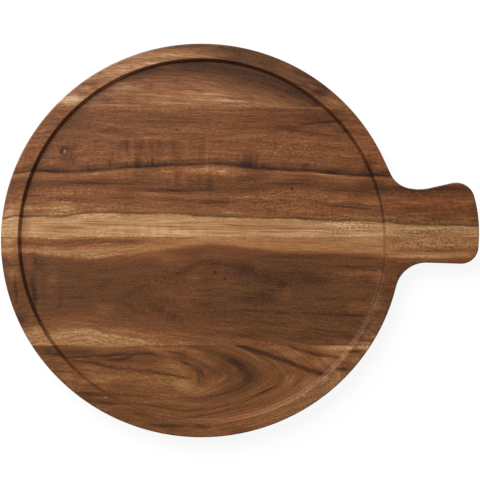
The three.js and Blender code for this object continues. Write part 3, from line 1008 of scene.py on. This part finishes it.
INNER_LOWER = Plank(
    "inner lower plank", "stave_3_inner_lower", "wood_stave_3", tilt=0.3, seed=800.0, flecked=0.6,
    grain=0.85, features=INNER_LOWER_FIGURE,
    guides=[
        ORANGE_TOP,
        ORANGE_BOTTOM,
        [(0, 300), (100, 297), (200, 300), (300, 306), (380, 312), (480, 316)],
        WEDGE_EDGE,
    ],
    tones=[
        (200, 150), (230, 154), (235, 158), (239, 162), (243.6, 157), (245, 142), (246.6, 120),
        (251, 110), (260, 104), (280, 102), (300, 101), (315, 105), (326, 112), (336, 121), (345, 131),
        (348.5, 138), (350.5, 158), (356, 163), (400, 160),
    ],
    # Painted shade on the lower left of the recess wall, and painted light on its lit lower right
    oiled=on_wall([(-170, -150, 30), (-156, -140, 38), (-13.5, -32, -38), (-27, -45, -46)], WALL_SHADING_WIDTH),
    curl=[Spot(45, 285, 30, 34, 40)],
    pored=spots([(90, 243, 90, 5), (432, 244, 66, 10)]),
    tinted=[
        (RED, spots([(215, 264, 36, 18), (30, 265, 12, 14)])),
        (ORANGE, [Spot(220, 247, 380, 11)]),
        (GREYER, spots([(300, 304, 100, 50), (436, 244, 66, 11)])),
        (PALER, spots([(8, 295, 30, 50), (380, 325, 30, 50)], RIM)),
        (GREYER, [Spot(376, 325, 30, 50, where=RIM)]),
        # PALE along the lit lower right of the recess wall is painted light
        (PALE, on_wall([(-10, -35, 0), (-28, -52, 0)], LIT_WALL_WIDTH)),
    ],
    weaves=[
        Weave(110, 303, 215, 256, 18, SLANTED_FIBRES),
        Weave(110, 297, 215, 331, 15, SLANTED_FIBRES),
        Weave(222, 260, 320, 294, 13, SLANTED_FIBRES),
        Weave(-60, 246, 900, 248, 15, BAND_FIBRES),
    ],
)

# Outer lower plank: growth rings that arch to the right round a knot with an open check
RING_BOTTOM = [
    (150, 397.6), (182, 398.2), (196, 398), (210, 396.8), (224, 394.2), (235, 391), (245, 386),
    (252, 380),
]
SECOND_RING = [
    (168, 418.6), (190, 417.6), (200, 416), (212, 414), (225, 410.6), (235, 406.6), (245, 402.4),
    (254, 397.6), (262, 393.6), (272, 389), (281, 383),
]
INNER_LINE = [
    (222, 400.6), (234, 396.6), (246, 390.4), (256, 384),
]
THIRD_RING = [
    (226, 341.4), (238, 345.4), (255, 351.4), (275, 357.4), (285, 361), (300, 367), (308, 370),
    (324, 374.6), (334, 377),
]
FOURTH_RING = [
    (284, 344), (302, 350.4), (320, 355), (331, 356.6), (346, 359),
]
LEFT_ARC = [
    (64, 360.4), (88, 362.8), (100, 365), (112, 367.6), (130, 369.8), (150, 371.6), (165, 374),
    (180, 377), (194, 378.6),
]
RISING_BAND = [
    (50, 358.4), (80, 357.4), (95, 356.6), (108, 355.2), (118, 354.8), (134, 354.2),
]
BENT_BAND = [
    (104, 360.6), (118, 359.8), (126, 358), (136, 354.4), (148, 353.6), (158, 356), (170, 359.2),
]
LOW_ARC = [
    (122, 402.6), (145, 405), (160, 407), (172, 409.4), (190, 410.6), (205, 409.8), (218, 407.6),
    (236, 402.6),
]
OUTER_LOWER_FIGURE = [
    # Long lines
    Line(RISING_BAND, 3.0, 2.6, -24),
    Line(BENT_BAND, 3.2, 2.8, -26),
    Line(LEFT_ARC, 3.0, 2.4, -28),
    Line(RING_BOTTOM, 1.6, 1.3, -18),
    Line(INNER_LINE, 1.4, 1.2, -14),
    Line(SECOND_RING, 2.2, 1.5, -18),
    Line(THIRD_RING, 4.4, 4.2, -40),
    Line(FOURTH_RING, 3.4, 3.0, -32),
    Line(LOW_ARC, 1.7, 1.4, -20),
    # Light places
    *spots([
        (53, 350, 7, 5, 18), (82, 383, 10, 6, 12), (88, 367, 16, 4, 8), (95, 379, 30, 6, 10),
        (108, 354, 16, 4, 10), (119, 357.5, 11, 4, 12), (130, 377, 50, 4.5, 8), (150, 350, 14, 5, 8),
        (150, 384, 22, 5, 10), (154, 378, 20, 3, 8), (162, 350, 26, 5, 16), (167, 355, 18, 8, 18),
        (167, 398, 20, 7, 17), (170, 366, 24, 9, 16), (172, 411, 24, 4, 10), (179, 374, 13, 8, 14),
        (180, 348, 14, 4, 12), (180, 384, 30, 9, 16), (184, 386, 15, 9, 18), (190, 366, 8, 4, 9),
        (190, 404, 34, 7, 14), (192, 389, 28, 8, 6), (196, 352, 14, 4, 6), (198, 351, 26, 8, 16),
        (205, 395, 45, 12, 12), (210, 381, 10, 6, 14), (222, 355, 15, 8, 14), (230, 359, 10, 4, 11),
        (270, 348.4, 16, 3.4, 10), (278, 372, 8, 4, 12), (290, 382, 10, 14, 10), (292, 354, 18, 5, 14),
        (308, 384, 12, 10, 8), (317, 379, 11, 6, 11), (322, 363, 16, 8, 16), (334, 356, 20, 10, 14),
        (340, 347.6, 30, 5, 36), (356, 360, 9, 4, 15),
    ]),
    # Dark places
    *spots([
        (66, 352, 46, 8, -10), (78, 368, 12, 5, -8), (86, 351, 8, 2, -14), (90, 362, 34, 8, -8),
        (113, 397, 13, 5, -11), (124, 359.6, 6, 2.4, -14), (128, 360, 36, 4, -6), (184, 384, 12, 5, -10),
        (221, 370, 14, 10, -18), (229, 381, 7, 2.2, -8), (230, 376, 10, 8, -10), (240, 372, 7, 6, -13),
        (248, 377, 14, 9, -14), (286, 346, 12, 2, -8), (291, 372, 8, 4, -11), (322, 374.4, 9, 3.4, -10),
    ]),
    # Light streaks
    *streaks([
        (40, 348, 190, 348.5, 5, 17), (50, 346, 165, 346.3, 1.4, 26), (74, 359.8, 87, 359.2, 0.8, 34),
        (88, 358.3, 97, 357.6, 0.7, 24), (172, 404, 206, 405, 2, 8), (186, 362.4, 196, 366, 0.7, 14),
        (236, 345.6, 282, 374, 1.3, 16),
    ]),
    # Dark streaks
    *streaks([
        (80, 369.8, 93, 370.4, 1.3, -22), (90, 372.6, 101, 374, 1, -14), (98, 357, 128, 354.6, 1.2, -22),
        (100, 385, 150, 388, 3, -8), (108, 389.6, 146, 391.4, 1.4, -10), (114, 395, 154, 397.8, 1.6, -20),
        (122, 380, 160, 384.6, 0.9, -14), (128, 380.4, 142, 381, 1.2, -12),
        (136, 385.5, 186, 389, 0.9, -10), (150, 399.4, 188, 401, 0.8, -12),
        (158, 349.4, 192, 356.6, 1.8, -22), (160, 382.4, 178, 384.6, 1.1, -18),
        (160, 408.4, 196, 413.4, 1, -14), (176, 359.6, 199, 368.4, 2.4, -26),
        (184, 364.6, 200, 374, 1.6, -20), (188, 345.8, 226, 357, 2, -10),
        (196.5, 367, 198.5, 386, 3, -18), (198, 366, 204, 379, 2.4, -28), (200, 364, 212, 368.4, 1, -12),
        (202, 377.4, 216, 380.6, 1.2, -14), (204, 355.6, 229, 366, 0.9, -9),
        (216, 352, 254, 372.6, 7, -24), (228, 366, 231, 379, 0.9, -7), (252, 398, 284, 383, 2.6, -12),
    ]),
    # On the rim only
    *spots([
        (50, 365, 13, 9, -16), (52, 351, 16, 8, -20), (66, 377, 16, 5, 14), (83, 396, 13, 8, -15),
        (90, 409, 30, 5, 4), (105.4, 397.4, 3.2, 0.8, 54), (140, 415, 20, 3, -8),
        (168, 425.6, 26, 3.4, -24), (188, 424, 18, 6, -8), (200, 426.4, 14, 3, -28),
        (205, 421, 20, 2, -8), (240, 430, 26, 6, -14), (256, 420.6, 3, 0.8, 26), (300, 402, 80, 44, 9),
        (306, 396, 4, 1.2, 22), (332, 378, 20, 18, 14), (342, 369.2, 11, 3.2, -40),
        (355, 351, 12, 2.8, -40), (365, 347, 14, 8, 40),
    ], RIM),
    *streaks([
        (44, 360.8, 58, 360.4, 0.8, 14), (44, 371, 72, 371.6, 2.2, -16), (48, 357.2, 60, 357, 0.8, 22),
        (74, 391.6, 114, 396.4, 3.4, -22), (84, 400.6, 128, 404.6, 2.6, -24), (92, 399, 104, 399, 1, 10),
        (250, 424, 286, 412.6, 0.9, 10), (276, 409, 300, 404.6, 0.9, -12),
        (336, 361.5, 352, 363.5, 1.6, -18),
    ], RIM),
]
OUTER_LOWER = Plank(
    "outer lower plank", "stave_4_outer_lower", "wood_stave_4", tilt=0.5, seed=1200.0, flecked=0.5,
    tint=(1.0, 1.01, 0.97), grain=0.95, features=OUTER_LOWER_FIGURE,
    guides=[
        LOWER_JOINT,
        [
            (0, 366), (60, 361), (100, 365), (130, 370), (165, 374), (194, 379), (260, 384), (320, 376),
            (480, 372),
        ],
        [(0, 390), (110, 394), (150, 397.6), (200, 398), (260, 396), (320, 384), (480, 380)],
        [(0, 408), (100, 410), (160, 420), (200, 424), (480, 424)],
    ],
    tones=[
        (300, 106), (345, 108), (355, 108), (366, 114), (376, 124), (386, 128), (398, 120), (410, 118),
        (424, 116), (440, 120),
    ],
    arch=Arch(150, 377, 103, 38, 30, 1.6, (168, 204), fibres=(1.5, 0.56), tones=[
        (0, 126), (0.45, 120), (0.56, 112), (0.66, 118), (0.72, 124), (0.82, 118), (0.89, 112),
        (0.94, 102), (0.98, 97), (1.03, 102), (1.09, 110), (1.14, 117), (1.2, 119), (1.24, 125),
        (1.275, 115), (1.31, 124), (1.36, 130), (1.44, 128), (1.47, 120), (1.51, 129), (1.6, 131),
        (2, 130),
    ]),
    # Painted shade on the lower left of the recess wall, and painted light on its lit lower right
    oiled=on_wall([(-150, -132, 38), (-137, -120, 26), (-27, -45, -46), (-40, -58, -20)], WALL_SHADING_WIDTH),
    tinted=[
        (PALER, spots([(340, 365, 50, 40), (40, 355, 30, 25)], RIM)),
        (GREYER, [Spot(325, 385, 75, 45, where=RIM)]),
        # PALE along the lit lower right of the recess wall is painted light
        (PALE, on_wall([(-28, -52, 0), (-45, -70, 0)], LIT_WALL_WIDTH)),
        (GOLDEN, spots([(130, 378, 70, 9), (176, 376, 36, 22), (150, 403, 60, 7)])),
    ],
    weaves=[Weave(70, 360, 195, 384, 12, SLANTED_FIBRES)],
)

PLANKS = [OUTER_UPPER, INNER_UPPER, INNER_LOWER, OUTER_LOWER]

# Cured glue: grain sizes, its two colours on the screen, and its roughness
GLUE_GRAIN = (4 * MM, 0.4 * MM, 0.4 * MM)
GLUE_DARK = (70, 45, 30)
GLUE_LIGHT = (96, 62, 40)
GLUE_RANGE = (0.3, 0.7)
GLUE_ROUGHNESS = (0.45, 0.6)


def glue_material():
    g = Graph(bpy.data.materials.new("cured glue"))
    grain = g.noise(g.node("TexCoord").outputs["Object"], GLUE_GRAIN)
    g.show(g.named("BsdfPrincipled", {
        "Base Color": g.mix(grain, linear(*GLUE_DARK), linear(*GLUE_LIGHT)),
        "Roughness": g.span(grain, *GLUE_RANGE, *GLUE_ROUGHNESS),
    }))
    return g.owner


def add_pieces():
    board = board_mesh()
    joints = [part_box("glue_joint_%d" % number) for number in (1, 2, 3)]
    beyond = 2 * DISC_Y
    tops = [beyond] + [low[1] for low, high in joints]
    bottoms = [high[1] for low, high in joints] + [-beyond]
    for plank, top, bottom in zip(PLANKS, tops, bottoms):
        name = plank.name.replace(" ", "_")
        add_piece(name, cut_board(board, bottom, top), plank.node, plank_material(plank))
    glue = glue_material()
    for number, (low, high) in enumerate(joints, 1):
        name = "glue_line_%d" % number
        add_piece(name, cut_board(board, low[1], high[1]), "glue_joint_%d" % number, glue)
    board.free()


# Studio: white floor and backdrop, one broad lamp at the upper left, camera straight above
CAMERA_HEIGHT = 2.2
LAMP_DISTANCE = 1.8
LAMP_ELEVATION = math.radians(38)
LAMP_AZIMUTH = math.radians(125)
LAMP_SIZE = 2.0
LAMP_POWER = 54
WHITE = (1, 1, 1, 1)
WORLD_STRENGTH = 0.2
FLOOR_SIZE = 6.0
FLOOR_DROP = 0.2 * MM
FLOOR_COLOUR = (0.75, 0.75, 0.75, 1)
SHADOWED_COLOUR = (0.15, 0.15, 0.15, 1)
FLOOR_GLOW = 0.9


def add_camera():
    data = bpy.data.cameras.new("camera")
    distance = CAMERA_HEIGHT - THICKNESS
    data.lens = data.sensor_width * distance / (PHOTO_PIXELS * PIXEL)
    middle = PHOTO_PIXELS / 2
    x, y = (middle - DISC_CENTRE_U) * PIXEL, (DISC_CENTRE_V - middle) * PIXEL
    camera = add_object("camera", data)
    camera.location = (x, y, CAMERA_HEIGHT)
    bpy.context.scene.camera = camera


def add_lamp():
    data = bpy.data.lights.new("key lamp", "AREA")
    data.shape = "SQUARE"
    data.size = LAMP_SIZE
    data.energy = LAMP_POWER
    flat = math.cos(LAMP_ELEVATION)
    x, y = flat * math.cos(LAMP_AZIMUTH), flat * math.sin(LAMP_AZIMUTH)
    direction = Vector((x, y, math.sin(LAMP_ELEVATION)))
    lamp = add_object("key lamp", data)
    lamp.location = LAMP_DISTANCE * direction
    lamp.rotation_euler = direction.to_track_quat("Z", "Y").to_euler()


def seen_directly(g):
    """1 for rays that show the background itself to the camera."""
    return g.node("LightPath").outputs["Is Camera Ray"]


def add_world():
    world = bpy.data.worlds.new("studio")
    bpy.context.scene.world = world
    g = Graph(world)
    strength = g.span(seen_directly(g), 0.0, 1.0, WORLD_STRENGTH, 1.0)
    g.show(g.named("Background", {"Color": WHITE, "Strength": strength}), "World")


def add_floor():
    """White to the camera apart from a soft shadow, and plain pale grey to all other rays."""
    mesh = bmesh.new()
    bmesh.ops.create_grid(mesh, x_segments=1, y_segments=1, size=FLOOR_SIZE)
    g = Graph(bpy.data.materials.new("white floor"))
    plain = g.named("BsdfDiffuse", {"Color": FLOOR_COLOUR})
    shadowed = g.named("BsdfDiffuse", {"Color": SHADOWED_COLOUR})
    glow = g.named("Emission", {"Color": WHITE, "Strength": FLOOR_GLOW})
    lit = g.node("AddShader", glow.outputs[0], shadowed.outputs[0])
    g.show(g.node("MixShader", seen_directly(g), plain.outputs[0], lit.outputs[0]))
    floor = add_mesh("floor", mesh, g.owner)
    floor.location.z = LOW.z - FLOOR_DROP


add_pieces()
add_floor()
add_world()
add_lamp()
add_camera()
bpy.context.scene.view_settings.view_transform = "Standard"
